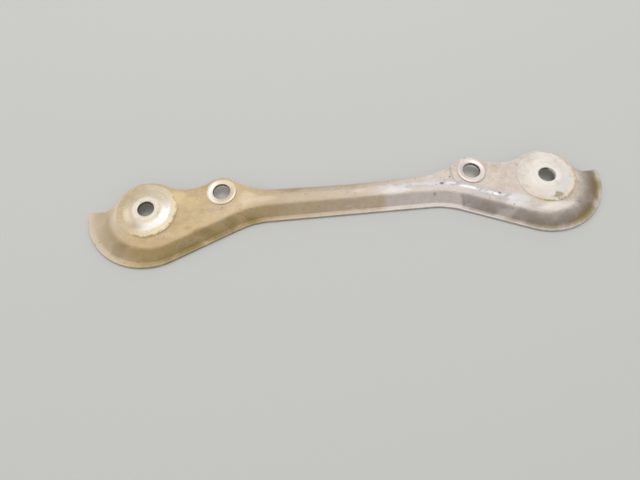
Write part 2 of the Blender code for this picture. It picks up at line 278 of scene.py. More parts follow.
def from_rim(plan):
    """(distance in from the rim line, spread of the wall from 0 on the bar to 1 at the horn)."""
    plan = np.stack([np.abs(plan[..., 0]), plan[..., 1]], -1)
    by_fillet = plan - np.array(NEAR_FILLET_CENTRE)
    by_taper = plan - np.array(TAPER_END)
    by_end = plan - np.array(RIM_CENTRE)
    fillet_turn = np.arctan2(by_fillet[..., 1], by_fillet[..., 0])
    on_bar = plan[..., 0] < NEAR_FILLET_CENTRE.x
    on_fillet = ~on_bar & (fillet_turn >= NEAR_FILLET_ARC)
    on_taper = ~on_bar & ~on_fillet & (by_taper @ np.array(TAPER_ALONG) < 0)
    distance = np.select(
        [on_bar, on_fillet, on_taper],
        [plan[..., 1] - NEAR_EDGE_Y,
         np.hypot(by_fillet[..., 0], by_fillet[..., 1]) - NEAR_FILLET_RADIUS,
         by_taper @ np.array(TAPER_INWARD)],
        RIM_RADIUS - np.hypot(by_end[..., 0], by_end[..., 1]))
    turned = 1 - np.arctan2(by_end[..., 1], by_end[..., 0]) / RIM_START_ANGLE
    spread = np.clip(turned, 0, 1)
    return distance, np.where(on_bar | on_fillet | on_taper, 0.0, spread)


def wall_shape(spread):
    """(angle, shoulder radius, foot radius, rim width, length of the straight part in plan)."""
    angle, shoulder, foot, rim = (
        bar + (horn - bar) * spread
        for bar, horn in (WALL_ANGLE, SHOULDER_RADIUS, FOOT_RADIUS, RIM_WIDTH))
    straight = (RISE - (shoulder + foot) * (1 - np.cos(angle))) / np.tan(angle)
    return angle, shoulder, foot, rim, straight


def wall_width(spread):
    angle, shoulder, foot, rim, straight = wall_shape(spread)
    return rim + (foot + shoulder) * np.sin(angle) + straight


def wall_height(distance, spread):
    """Height of the sheet's top surface above the web's top, so zero or less."""
    angle, shoulder, foot, rim, straight = wall_shape(spread)
    run = distance - rim
    foot_run = foot * np.sin(angle)
    shoulder_run = shoulder * np.sin(angle)
    left = np.clip(shoulder_run - (run - foot_run - straight), 0, shoulder_run)
    return np.select(
        [run <= 0, run < foot_run, run < foot_run + straight],
        [-RISE + 0 * run,
         -RISE + foot - np.sqrt(np.maximum(foot ** 2 - run ** 2, 0)),
         -RISE + foot * (1 - np.cos(angle)) + (run - foot_run) * np.tan(angle)],
        -shoulder + np.sqrt(shoulder ** 2 - left ** 2))


def crown(plan, distance, spread):
    """Soft fall of the web towards the shoulder, interrupted by the spot face."""
    width = wall_width(spread)
    t = np.clip((CROWN_REACH - distance) / (CROWN_REACH - width), 0, 1)
    fall = CROWN_DROP * t ** 2 * (1 - spread)
    to_ear = np.hypot(plan[..., 0] - INNER_HOLE.x, plan[..., 1] - INNER_HOLE.y)
    outside = smoothstep(*SPOT_FACE_RAMP, to_ear - SPOT_FACE_RADIUS)
    return fall * outside + SPOT_FACE_DEPTH * (1 - outside)


def waves(x, y):
    """Handling waves and faint press marks in the sheet, a few hundredths of a millimetre."""
    broad = noise.noise(Vector((x, y, 0.0)) / BROAD_WAVE[0])
    fine = noise.noise(Vector((x + 1.0, y, 0.3)) / FINE_WAVE[0])
    return BROAD_WAVE[1] * broad + FINE_WAVE[1] * fine


# ---------------------------------------------------------------- mesh helpers

def new_object(name, bm):
    mesh = bpy.data.meshes.new(name)
    bm.to_mesh(mesh)
    bm.free()
    obj = bpy.data.objects.new(name, mesh)
    bpy.context.scene.collection.objects.link(obj)
    return obj


def apply_modifiers(obj):
    """Makes the object's modified mesh its own mesh."""
    bpy.context.view_layer.update()
    evaluated = obj.evaluated_get(bpy.context.evaluated_depsgraph_get())
    mesh = bpy.data.meshes.new_from_object(evaluated)
    obj.modifiers.clear()
    old = obj.data
    obj.data = mesh
    bpy.data.meshes.remove(old)
    mesh.name = obj.name


def smooth(obj, sharp_angle):
    obj.data.shade_smooth()
    obj.data.set_sharp_from_angle(angle=math.radians(sharp_angle))


def coordinates(mesh):
    points = np.empty(len(mesh.vertices) * 3, np.float32)
    mesh.vertices.foreach_get("co", points)
    return points.reshape(-1, 3).astype(float)


def set_attribute(mesh, name, values):
    attribute = mesh.attributes.new(name, "FLOAT", "POINT")
    attribute.data.foreach_set("value", values.astype(np.float32))


# ---------------------------------------------------------------- the pressed sheet

def shares_at(rims, fars, targets):
    """How far along each station line the given distances in from the rim are reached."""
    low, high = np.zeros_like(targets), np.ones_like(targets)
    for _ in range(30):
        middle = (low + high) / 2
        plan = rims[:, None] + (fars - rims)[:, None] * middle[..., None]
        short = from_rim(plan)[0] < targets
        low, high = np.where(short, middle, low), np.where(short, high, middle)
    return low


def section_rows(rims, fars):
    """(share along the station line, depth of the rounded edge) for each station and row."""
    across = fars - rims
    along = np.gradient(fars, axis=0)
    area = np.abs(across[:, 0] * along[:, 1] - across[:, 1] * along[:, 0])
    square = np.maximum(area / np.hypot(along[:, 0], along[:, 1]), 1e-6)
    rounding = np.minimum(EDGE_ROUNDING, EDGE_ROUNDING_SHARE * square)[:, None]
    turn = np.linspace(0, math.pi / 2, EDGE_ROWS)
    inward, depth = rounding * (1 - np.cos(turn)), rounding * (1 - np.sin(turn))

    _, spread = from_rim(rims)
    width = wall_width(spread)
    scale = np.minimum(1.0, WALL_SHARE_AT_HORN * from_rim(fars)[0] / width)
    wall_top = (scale * width)[:, None]
    steps = np.linspace(0, 1, WALL_ROWS + 1)[1:]
    targets = np.concatenate([inward, rounding + (wall_top - rounding) * steps], 1)
    wall = shares_at(rims, fars, targets)
    wall[:, 0] = 0.0
    edge = 1 - (inward / square[:, None])[:, ::-1]
    web_steps = np.linspace(0, 1, WEB_ROWS + 1)[1:-1]
    web = wall[:, -1:] + (edge[:, :1] - wall[:, -1:]) * web_steps
    flat = np.zeros((len(rims), WALL_ROWS + WEB_ROWS - 1))
    return np.concatenate([wall, web, edge], 1), np.concatenate([depth, flat, depth[:, ::-1]], 1)


def half_sheet_sections():
    """Closed section of the sheet at each station: its top from rim to far edge, then back below."""
    rims, fars, rolls = outline_stations()
    shares, depth = section_rows(rims, fars)
    plan = rims[:, None] + (fars - rims)[:, None] * shares[..., None]
    to_edge = np.hypot(*np.moveaxis(fars[:, None] - plan, -1, 0))
    roll = rolls[:, None] * ROLL_DROP * np.clip(1 - to_edge / ROLL_WIDTH, 0, 1) ** 2
    distance, spread = from_rim(plan)
    fall = wall_height(distance, spread) - crown(plan, distance, spread)
    height = SHEET_TOP + np.maximum(fall, -RISE) - roll
    top = np.concatenate([plan, height[..., None]], -1)

    normal = np.cross(np.gradient(top, axis=0), np.gradient(top, axis=1))
    length = np.linalg.norm(normal, axis=-1, keepdims=True)
    normal = np.where(length > 1e-12, normal / np.maximum(length, 1e-12), (0, 0, 1))
    normal *= np.where(normal[..., 2:] < 0, -1, 1)
    normal[0, :, 0] = 0
    upper = top - normal * depth[..., None]
    lower = top - normal * (SHEET - depth)[..., None]
    return np.concatenate([upper, lower[:, ::-1]], 1)


def hole_cutter(x, y, radius):
    bm = bmesh.new()
    bmesh.ops.create_cone(bm, cap_ends=True, segments=CUTTER_SEGMENTS, radius1=radius,
                          radius2=radius, depth=4 * SHEET_TOP)
    cutter = new_object("cutter", bm)
    cutter.location = (x, y, SHEET_TOP)
    return cutter


def pressed_sheet():
    """The one-piece pressing, with its waves, thickness, rounded edges and four holes."""
    half = half_sheet_sections()
    sections = np.concatenate([half[:0:-1] * (-1, 1, 1), half])
    bm = bmesh.new()
    rings = [[bm.verts.new(point) for point in section] for section in sections]
    for ring, following in zip(rings, rings[1:]):
        for row in range(len(ring)):
            after = (row + 1) % len(ring)
            bm.faces.new((ring[row], following[row], following[after], ring[after]))
    bmesh.ops.remove_doubles(bm, verts=bm.verts, dist=MERGE_DISTANCE)
    bmesh.ops.recalc_face_normals(bm, faces=bm.faces)
    sheet = new_object("pressed_sheet", bm)

    cutters = []
    for sign in (-1, 1):
        cutters.append(hole_cutter(sign * INNER_HOLE.x, INNER_HOLE.y, SHEET_INNER_HOLE_RADIUS))
        cutters.append(hole_cutter(sign * END_HOLE.x, END_HOLE.y, SHEET_END_HOLE_RADIUS))
    for cutter in cutters:
        boolean = sheet.modifiers.new("cut", "BOOLEAN")
        boolean.object = cutter
        boolean.solver = "EXACT"
    apply_modifiers(sheet)
    for cutter in cutters:
        bpy.data.objects.remove(cutter, do_unlink=True)

    points = coordinates(sheet.data)
    level = smoothstep(0.0, 1.0, (points[:, 2] - SHEET) / (2 * MM))
    points[:, 2] += level * np.array([waves(x, y) for x, y, _ in points])
    sheet.data.vertices.foreach_set("co", points.astype(np.float32).ravel())
    smooth(sheet, SHEET_SHARP_ANGLE)
    mark_sheet(sheet)
    return sheet


def outline_distance(points):
    """Distance in plan from each point to the nearest trimmed edge of the sheet."""
    rims, fars, _ = outline_stations()
    edge = np.concatenate([rims, fars])
    plan = np.stack([np.abs(points[:, 0]), points[:, 1]], -1)
    nearest = np.full(len(plan), np.inf)
    for start in range(0, len(edge), 50):
        gap = plan[:, None] - edge[None, start:start + 50]
        nearest = np.minimum(nearest, np.hypot(gap[..., 0], gap[..., 1]).min(1))
    return nearest


def mark_sheet(sheet):
    """Stores where each part of the section lies, as attributes that the material reads."""
    points = coordinates(sheet.data)
    distance, spread = from_rim(points)
    angle, _, foot, rim, _ = wall_shape(spread)
    width = wall_width(spread)
    down = np.clip((distance - rim) / (width - rim), -1, 2)
    top_height = SHEET_TOP + wall_height(distance, spread)
    under = smoothstep(0.5 * MM, 1.2 * MM, top_height - points[:, 2] - 0.3 * MM)
    foot_centre = rim + 0.55 * foot * np.sin(angle)
    set_attribute(sheet.data, "wall", smoothstep(1.0, 0.62, down) * smoothstep(-0.1, 0.2, down))
    set_attribute(sheet.data, "foot", np.exp(-((distance - foot_centre) / (0.3 * width)) ** 2))
    set_attribute(sheet.data, "rim", smoothstep(1.5 * rim, 0.6 * rim, distance))
    set_attribute(sheet.data, "edge", smoothstep(1.3 * MM, 0.2 * MM, outline_distance(points)))
    set_attribute(sheet.data, "under", under)
    set_attribute(sheet.data, "down", down)
    far_roll = np.clip((points[:, 1] - FAR_EDGE_Y + ROLL_WIDTH) / ROLL_WIDTH, 0, 1)
    on_bar = smoothstep(NEAR_FILLET_CENTRE.x, 0.5 * NEAR_FILLET_CENTRE.x, np.abs(points[:, 0]))
    set_attribute(sheet.data, "roll", far_roll * on_bar)
    set_attribute(sheet.data, "shoulder", np.exp(-((down - 1.38) / 0.30) ** 2))


# ---------------------------------------------------------------- turned pieces

def turned(name, profile, centre, slot):
    """A solid of revolution from (radius, height) points, its bore drawn out along X by slot."""
    bm = bmesh.new()
    rings = []
    for step in range(TURN_STEPS):
        turn = 2 * math.pi * step / TURN_STEPS
        rings.append([
            bm.verts.new((radius * math.cos(turn), radius * math.sin(turn), height))
            for radius, height in profile])
    for ring, following in zip(rings, rings[1:] + rings[:1]):
        for row in range(len(profile)):
            after = (row + 1) % len(profile)
            bm.faces.new((ring[row], ring[after], following[after], following[row]))
    for vertex in bm.verts:
        radius = vertex.co.to_2d().length
        reach = 1 - smoothstep(END_BORE_RADIUS, SEAT_FLAT_RADIUS, radius)
        vertex.co.x += slot / 2 * reach * max(-1, min(1, vertex.co.x / SLOT_BLEND))
        vertex.co += Vector((*centre, SHEET_TOP))
        vertex.co.z += FITTED_WAVE_SHARE * waves(vertex.co.x, vertex.co.y)
    bmesh.ops.recalc_face_normals(bm, faces=bm.faces)
    piece = new_object(name, bm)
    smooth(piece, TURNED_SHARP_ANGLE)
    return piece


def rounded(profile, radius, steps=3):
    """The closed profile with each corner replaced by a small curve that starts radius away."""
    points = [Vector(p) for p in profile]
    result = []
    for before, corner, after in zip(points[-1:] + points[:-1], points, points[1:] + points[:1]):
        reach = min(radius, (before - corner).length / 2.2, (after - corner).length / 2.2)
        start = corner + (before - corner).normalized() * reach
        end = corner + (after - corner).normalized() * reach
        for step in range(steps + 1):
            t = step / steps
            result.append(tuple(start.lerp(corner, t).lerp(corner.lerp(end, t), t)))
    return result


def collar(name, centre):
    """A flanged collar: a ring dished a little towards its bore, with a barrel through the web."""
    ring_top = COLLAR_HIGH.z - SHEET_TOP
    corners = [
        (COLLAR_RADIUS, -COLLAR_SINK),
        (BARREL_RADIUS, -COLLAR_SINK),
        (BARREL_RADIUS, -SHEET),
        (INNER_BORE_RADIUS, -SHEET),
        (INNER_BORE_RADIUS, ring_top - COLLAR_DISH_DEPTH),
        (COLLAR_RADIUS - COLLAR_BEVEL_WIDTH, ring_top),
        (COLLAR_RADIUS, ring_top - COLLAR_BEVEL_FALL),
    ]
    return turned(name, rounded(corners, COLLAR_CORNER), centre, 0.0)


def seat_disc(name, centre, slot):
    """A pressed seat: a level ring, a short smooth cone and a thin brim that lies on the web."""
    top = SEAT_HIGH.z - SHEET_TOP
    profile = [
        (SEAT_RADIUS, BRIM_OUTER - BRIM_THICKNESS),
        (END_BORE_RADIUS, BRIM_OUTER - BRIM_THICKNESS),
        (END_BORE_RADIUS, top - SEAT_BORE_BEVEL),
        (END_BORE_RADIUS + SEAT_BORE_BEVEL, top - SEAT_BEVEL_RISE),
    ]
    first = END_BORE_RADIUS + SEAT_FIRST_STEP
    for step in range(SEAT_STEPS + 1):
        radius = first + (SEAT_RADIUS - first) * step / SEAT_STEPS
        fall = float(smoothstep(
            SEAT_FLAT_RADIUS - SEAT_BLEND, SEAT_CONE_RADIUS + SEAT_BLEND, radius))
        brim = BRIM_INNER + (BRIM_OUTER - BRIM_INNER) * (radius - SEAT_CONE_RADIUS) / (
            SEAT_RADIUS - SEAT_CONE_RADIUS)
        profile.append((radius, top + (max(brim, BRIM_OUTER) - top) * fall))
    return turned(name, profile, centre, slot)


# ---------------------------------------------------------------- materials

class Nodes:
    """A short way to write a material's node tree."""

    def __init__(self, name):
        self.material = bpy.data.materials.new(name)
        self.material.use_nodes = True
        self.tree = self.material.node_tree
        self.shader = self.tree.nodes["Principled BSDF"]
        self.place = self.add("ShaderNodeTexCoord").outputs["Object"]

    def add(self, kind, **settings):
        made = self.tree.nodes.new(kind)
        for name, value in settings.items():
            setattr(made, name, value)
        return made

    def feed(self, socket, value):
        if isinstance(value, bpy.types.NodeSocket):
            self.tree.links.new(value, socket)
        else:
            socket.default_value = value

    def math(self, operation, a, b=0.0):
        made = self.add("ShaderNodeMath", operation=operation)
        self.feed(made.inputs[0], a)
        self.feed(made.inputs[1], b)
        return made.outputs[0]

    def plus(self, a, b):
        return self.math("ADD", a, b)

    def minus(self, a, b):
        return self.math("SUBTRACT", a, b)

    def larger(self, a, b):
        return self.math("MAXIMUM", a, b)

    def times(self, first, *others):
        for other in others:
            first = self.math("MULTIPLY", first, other)
        return first

    def step(self, value, low, high, bottom=0.0, top=1.0):
        """value mapped smoothly from low..high to bottom..top."""
        made = self.add("ShaderNodeMapRange", interpolation_type="SMOOTHSTEP")
        self.feed(made.inputs["Value"], value)
        for name, number in (("From Min", low), ("From Max", high),
                             ("To Min", bottom), ("To Max", top)):
            made.inputs[name].default_value = number
        return made.outputs["Result"]

    def between(self, value, rise, fall):
        """1 between a smooth rise and a smooth fall, each given as (none, full)."""
        return self.times(self.step(value, *rise), self.step(value, *fall))

    def band(self, value, middle, none, full):
        """1 within full of the middle, 0 beyond none of it."""
        return self.step(self.math("ABSOLUTE", self.minus(value, middle)), none, full)

    def mix(self, share, a, b):
        made = self.add("ShaderNodeMix", data_type="RGBA")
        self.feed(made.inputs["Factor"], share)
        self.feed(made.inputs[6], a if isinstance(a, bpy.types.NodeSocket) else (*a, 1.0))
        self.feed(made.inputs[7], b if isinstance(b, bpy.types.NodeSocket) else (*b, 1.0))
        return made.outputs[2]

    def tint(self, colour, share, tone, strength):
        """colour taken towards tone by share times strength."""
        return self.mix(self.times(share, strength), colour, tone)

    def attribute(self, name):
        return self.add("ShaderNodeAttribute", attribute_name=name).outputs["Fac"]

    def axis(self, letter):
        split = self.add("ShaderNodeSeparateXYZ")
        self.feed(split.inputs[0], self.place)
        return split.outputs[letter]

    def stretched(self, x, y, z, turn=0.0):
        """The place, turned about Z and then scaled, for patterns drawn out in one direction."""
        turned_place = self.place
        if turn:
            rotate = self.add("ShaderNodeVectorRotate", rotation_type="Z_AXIS")
            self.feed(rotate.inputs["Vector"], self.place)
            rotate.inputs["Angle"].default_value = turn
            turned_place = rotate.outputs["Vector"]
        made = self.add("ShaderNodeMapping")
        self.feed(made.inputs["Vector"], turned_place)
        made.inputs["Scale"].default_value = (x, y, z)
        return made.outputs["Vector"]

    def noise(self, scale, detail=4.0, roughness=0.55, place=None):
        made = self.add("ShaderNodeTexNoise")
        self.feed(made.inputs["Vector"], place or self.place)
        made.inputs["Scale"].default_value = scale
        made.inputs["Detail"].default_value = detail
        made.inputs["Roughness"].default_value = roughness
        return made.outputs["Fac"]

    def cells(self, scale):
        made = self.add("ShaderNodeTexVoronoi")
        self.feed(made.inputs["Vector"], self.place)
        made.inputs["Scale"].default_value = scale
        return made.outputs["Distance"]

    def radius_from(self, x, y):
        """Distance in plan from the upright line through (x, y)."""
        made = self.add("ShaderNodeVectorMath", operation="DISTANCE")
        flat = self.add("ShaderNodeCombineXYZ")
        self.feed(flat.inputs["X"], self.axis("X"))
        self.feed(flat.inputs["Y"], self.axis("Y"))
        self.feed(made.inputs[0], flat.outputs[0])
        made.inputs[1].default_value = (x, y, 0.0)
        return made.outputs["Value"]

    def scratches(self, turn):
        """Sparse hairline scratches in one direction."""
        lines = self.noise(1.0, 3.0, 0.5, self.stretched(28, 1100, 28, turn))
        gate = self.step(self.noise(34, 3.0), 0.50, 0.64)
        return self.times(self.step(lines, 0.62, 0.67), gate)

    def patch(self, middle, half_size, ragged):
        """A soft-edged ragged spot, 1 inside; middle and half_size are (x, y) in millimetres."""
        made = self.add("ShaderNodeMapping")
        self.feed(made.inputs["Vector"], self.place)
        made.inputs["Scale"].default_value = (
            1 / (half_size[0] * MM), 1 / (half_size[1] * MM), 0.0)
        made.inputs["Location"].default_value = (
            -middle[0] / half_size[0], -middle[1] / half_size[1], 0.0)
        length = self.add("ShaderNodeVectorMath", operation="LENGTH")
        self.feed(length.inputs[0], made.outputs["Vector"])
        blot = self.noise(1.3, 4.0, 0.6, made.outputs["Vector"])
        reach = self.plus(length.outputs["Value"], self.times(self.minus(blot, 0.5), 2 * ragged))
        return self.step(reach, 1.0, 0.45)

    def pits(self, scale, size, amount):
        """Sparse round pits: 1 in a pit, 0 elsewhere."""
        dot = self.step(self.cells(scale), size, size * 0.45)
        gate = self.step(self.noise(scale * 0.31, 2.0), 1 - amount, 1 - amount + 0.04)
        return self.times(dot, gate)

    def bump(self, height, distance, under=None):
        made = self.add("ShaderNodeBump")
        made.inputs["Distance"].default_value = distance
        self.feed(made.inputs["Height"], height)
        if under is not None:
            self.feed(made.inputs["Normal"], under)
        return made.outputs["Normal"]

    def finish(self, colour, roughness, metallic, normal):
        self.feed(self.shader.inputs["Base Color"], colour)
        self.feed(self.shader.inputs["Roughness"], roughness)
        self.feed(self.shader.inputs["Metallic"], metallic)
        self.feed(self.shader.inputs["Normal"], normal)
        return self.material


CREAM = (0.66, 0.50, 0.28)
PINK = (0.74, 0.65, 0.57)
SILVER = (0.80, 0.80, 0.79)
LILAC = (0.50, 0.46, 0.49)
PALE_LILAC = (0.76, 0.69, 0.69)
WHITE = (0.95, 0.92, 0.87)
BROWN = (0.34, 0.24, 0.12)
TAN = (0.39, 0.26, 0.06)
PALE_TAN = (0.63, 0.46, 0.26)
YELLOW = (0.86, 0.68, 0.36)
GREY_BROWN = (0.24, 0.20, 0.18)
GREY_GREEN = (0.46, 0.46, 0.34)
OLIVE = (0.25, 0.18, 0.045)
OCHRE = (0.60, 0.42, 0.14)
RUST = (0.36, 0.20, 0.05)
DARK = (0.07, 0.06, 0.045)
PALE_LEFT = (0.80, 0.69, 0.53)
PALE_RIGHT = (0.90, 0.83, 0.76)

FLOOR_COLOUR = (0.62, 0.62, 0.60, 1.0)
FLOOR_ROUGHNESS = 0.9
FLOOR_HALF_SIZE = 3.0
FLOOR_HEIGHT = -0.0002

COLLAR_PALE = {"left": PALE_LEFT, "right": (0.76, 0.67, 0.63)}
# Strength of the white painted highlight crescent on the -X side of each collar
COLLAR_HIGHLIGHT_CRESCENT = {"left": 0.8, "right": 0.0}
COLLAR_RUB_WIDTH = 2.0 * MM
SEAT_RUB_WIDTH = 5.0 * MM

# (roughness, metallic share) of the fitted pieces; the left seat is rubbed brighter
COLLAR_SHINE = (0.36, 0.35)
SEAT_SHINE = {"left": (0.25, 0.28), "right": (0.50, 0.20)}

# Marks on the sheet, among them painted highlights and painted shade: middle, half length and half
# width in millimetres, colour, strength
SHEET_MARKS_AND_PAINTED_LIGHT = (
    ((-140, 20), (9, 9), YELLOW, 0.50),
    ((-128, 14), (10, 7), YELLOW, 0.25),
    # Painted highlight: pale spot on the bar's neck
    ((-84, 14), (9, 8), PALE_LEFT, 0.45),
    ((-152, -19), (15, 6), BROWN, 0.18),
    # Painted shade: olive band along the top of the left end's wall
    ((-186, -21), (10, 7), OLIVE, 0.30),
    ((-120, -12), (11, 4), OLIVE, 0.50),
    ((-97, -5), (8, 5), OLIVE, 0.40),
    ((-82, -4), (9, 4), OLIVE, 0.35),
    ((-131, -9), (4, 2), BROWN, 0.40),
    ((-143, -4), (8, 3), BROWN, 0.25),
    ((-118, 5), (7, 3), BROWN, 0.20),
    ((-46, 18), (8, 3), BROWN, 0.50),
    ((-70, 12), (13, 3), PINK, 0.40),
    ((-2, 1), (5, 0.8), SILVER, 0.30),
    ((3, -1), (4, 0.7), SILVER, 0.30),
    ((8, 12), (7, 2), PINK, 0.40),
    # Painted highlight on the bar's crown
    ((38, 9), (16, 4), SILVER, 0.60),
    ((77, 12), (2.2, 1.6), DARK, 0.65),
    ((70, 4), (2.0, 1.5), GREY_BROWN, 0.60),
    ((104, -1), (15, 7), LILAC, 0.45),
    ((122, -9), (12, 6), LILAC, 0.50),
    # Painted highlight: silver spot on the shoulder
    ((135, -10), (12, 8), SILVER, 0.55),
    ((148, -19), (9, 6), LILAC, 0.35),
    # Painted highlight: white band along the shoulder below the right seat
    ((167, -18), (21, 5), WHITE, 0.55),
    ((124, -18), (11, 4), PALE_LILAC, 0.50),
    ((96, -8), (5, 3), SILVER, 0.25),
    ((122, -2), (1.7, 1.5), DARK, 0.60),
    ((150, -4), (6, 7), OCHRE, 0.30),
)


# Stretches along X where the sheet's tones, its painted shade and its painted highlights come and
# go, each end as (none, full)
LEFT_TIP_PINK = (-0.170, -0.200)
NARROW_BAR = ((-0.085, -0.055), (0.035, 0.010))
LEFT_FILM_AND_SHADE = (0.038, 0.034)
BARE_WALL = ((0.034, 0.038), (0.101, 0.096))
RIGHT_FILM_AND_SHADE = (0.096, 0.101)
# Where the painted highlight runs along the shoulder, and where it carries white painted glints
HIGHLIGHT_STREAK = ((0.015, 0.050), (0.160, 0.140))
POLISH_AND_GLINT = ((0.078, 0.088), (0.145, 0.115))
FOOT_OLIVE_RIGHT = (0.10, 0.19)
FOOT_OLIVE_LEFT = ((-0.055, -0.085), (-0.185, -0.140))

# Radii of the tones and painted highlights on a seat disc, from its axis, each pair as (none, full)
PALE_BY_BORE = (0.0210, 0.0130)
# The white arc and the yellow band at these radii are painted highlights
HIGHLIGHT_ARC_RADIUS = 0.0158
HIGHLIGHT_ARC_HALF_WIDTH = (0.0044, 0.0012)
YELLOW_HIGHLIGHT_RADII = (0.0200, 0.0232)
RUSTED_EDGE = (0.0220, 0.0236)
NEAR_RIGHT_SLOPE = 0.9

# Depth of each relief
SHEET_MOTTLE, SHEET_GRAIN, SHEET_PITS = 0.00008, 0.00003, 0.00012
FITTED_MOTTLE, FITTED_PITS = 0.00006, 0.00010


def plating(n):
    """Worn plating, yellowish to the left and pinkish grey to the right: (colour, cloud, mottle)."""
    cloud = n.noise(24, 5.0, 0.6)
    mottle = n.noise(210, 6.0, 0.68)
    across = n.plus(n.axis("X"), n.times(cloud, 0.08))
    colour = n.mix(n.step(across, -0.07, 0.10), CREAM, PINK)
    colour = n.mix(n.step(cloud, 0.52, 0.72, 0.0, 0.28), colour, SILVER)
    colour = n.mix(n.step(n.noise(70, 5.0, 0.65), 0.52, 0.70, 0.0, 0.25), colour, BROWN)
    colour = n.mix(n.step(mottle, 0.40, 0.62, 0.20, 0.0), colour, GREY_BROWN)
    return colour, cloud, mottle


def left_end(n, colour, grain):
    """Fine grain of the whole sheet, and the pale lobe and pinkish tip of its left end."""
    colour = n.mix(n.step(grain, 0.35, 0.65, 0.10, 0.0), colour, BROWN)
    colour = n.tint(colour, n.patch((-168, 14), (34, 26), 0.35), PALE_LEFT, 0.45)
    return n.mix(n.step(n.axis("X"), *LEFT_TIP_PINK, 0.0, 0.55), colour, PINK)


def witness_ring(n, colour):
    """Dark ring where the spot face round the right ear ends, on the side of the bar."""
    ring = n.band(n.radius_from(*INNER_HOLE), SPOT_FACE_RADIUS, 0.0010, 0.0003)
    bar_side = n.step(n.axis("X"), INNER_HOLE.x - 0.006, INNER_HOLE.x - 0.010)
    return n.tint(colour, n.times(ring, bar_side), GREY_BROWN, 0.45)


def bar_film(n, colour, mottle):
    """Brown film on the bar's rolled far edge and a grey one over its narrow part."""
    far_strip = n.times(n.attribute("roll"), n.step(mottle, 0.30, 0.60, 0.7, 1.0))
    colour = n.tint(colour, far_strip, BROWN, 0.46)
    return n.tint(colour, n.between(n.axis("X"), *NARROW_BAR), GREY_BROWN, 0.20)


def seat_dirt(n, colour, cloud, on_top):
    """Dirt in the corner round each seat disc, on its near right side."""
    side = n.minus(n.axis("X"), n.axis("Y"))
    for sign, strength in ((-1, 0.55), (1, 0.30)):
        to_seat = n.radius_from(sign * END_HOLE.x, END_HOLE.y)
        darkening = n.times(
            n.step(to_seat, SEAT_RADIUS + 0.0025, SEAT_RADIUS + 0.0004),
            n.step(side, sign * END_HOLE.x + 0.002, sign * END_HOLE.x + 0.016),
            n.step(cloud, 0.40, 0.56, 0.25 * strength, strength))
        colour = n.tint(colour, darkening, BROWN, on_top)
    return colour


def wall_films_and_shade(n, colour, ragged):
    """Film and painted shade on the wall, tan to the left, grey to the right, with a bare stretch
    between.

    Returns the colour and the share of film and painted shade.
    """
    along = n.axis("X")
    down = n.attribute("down")
    # The film is partly painted shade: it is heavier towards the top of the wall on the left, and
    # towards its foot on the right, darkening the wall as shade would.
    film_and_shade = n.times(n.attribute("wall"), n.step(n.noise(60, 5.0, 0.6), 0.30, 0.62, 0.45, 1.0))
    left = n.times(film_and_shade, n.step(ragged, *LEFT_FILM_AND_SHADE), n.step(down, 0.0, 0.9, 0.42, 1.12))
    left_tone = n.mix(n.step(along, -0.03, -0.09), PALE_TAN, TAN)
    colour = n.tint(colour, left, left_tone, 0.52)
    fading = n.larger(n.step(down, 0.3, 0.9, 1.0, 0.3), n.step(along, 0.165, 0.140))
    right = n.times(film_and_shade, n.step(ragged, *RIGHT_FILM_AND_SHADE), fading)
    colour = n.tint(colour, right, GREY_BROWN, 0.74)
    bare = n.times(n.attribute("wall"), n.between(ragged, *BARE_WALL))
    return n.tint(colour, bare, PALE_LILAC, 0.45), film_and_shade


def foot_olive(n, colour):
    """Olive, a darker tone in the foot of the wall towards both ends: (colour, its share)."""
    along = n.axis("X")
    left_start, left_stop = FOOT_OLIVE_LEFT
    ends = n.larger(n.step(along, *FOOT_OLIVE_RIGHT), n.step(along, *left_start))
    ends = n.times(ends, n.step(along, *left_stop))
    darkening = n.times(n.attribute("foot"), n.step(n.noise(45, 5.0, 0.65), 0.30, 0.60), ends)
    return n.tint(colour, darkening, OLIVE, 0.85), darkening


def shoulder_highlight(n, colour, ragged):
    """Broken painted highlight along the right shoulder, silver and white over a lilac tone:
    (colour, streak, its polished bits that carry the white painted glint).
    """
    along = n.axis("X")
    streak = n.times(n.attribute("shoulder"), n.between(ragged, *HIGHLIGHT_STREAK))
    # Silver and white along the shoulder are painted highlight, broken up by noise.
    broken_highlight = n.step(n.noise(1.0, 6.0, 0.7, n.stretched(90, 260, 90)), 0.44, 0.56)
    colour = n.tint(colour, streak, LILAC, n.step(along, 0.05, 0.09, 0.45, 0.85))
    colour = n.tint(colour, n.times(streak, broken_highlight), SILVER, 0.50)
    polish_and_glint = n.times(n.step(streak, 0.80, 0.95), broken_highlight, n.between(along, *POLISH_AND_GLINT))
    return n.tint(colour, polish_and_glint, WHITE, 0.7), streak, polish_and_glint


def marks_and_painted_light(n, colour, on_top):
    # Tints each mark in, painted highlights and painted shade among them.
    for middle, half_size, tone, strength in SHEET_MARKS_AND_PAINTED_LIGHT:
        mark = n.times(n.patch(middle, half_size, 0.6), on_top)
        colour = n.tint(colour, mark, tone, strength)
    return colour


def wear(n, colour, mottle, scratched, pits):
    """Scratches, pale edges, dark pits and the dull underside."""
    colour = n.tint(colour, scratched, SILVER, 0.12)
    worn = n.larger(n.attribute("edge"), n.times(n.attribute("rim"), 0.4))
    worn = n.times(worn, n.step(mottle, 0.35, 0.6, 0.4, 1.0),
                   n.step(n.axis("X"), -0.20, 0.15, 0.15, 0.50))
    colour = n.mix(worn, colour, SILVER)
    colour = n.tint(colour, pits, DARK, 0.55)
    return n.tint(colour, n.attribute("under"), BROWN, 0.35)


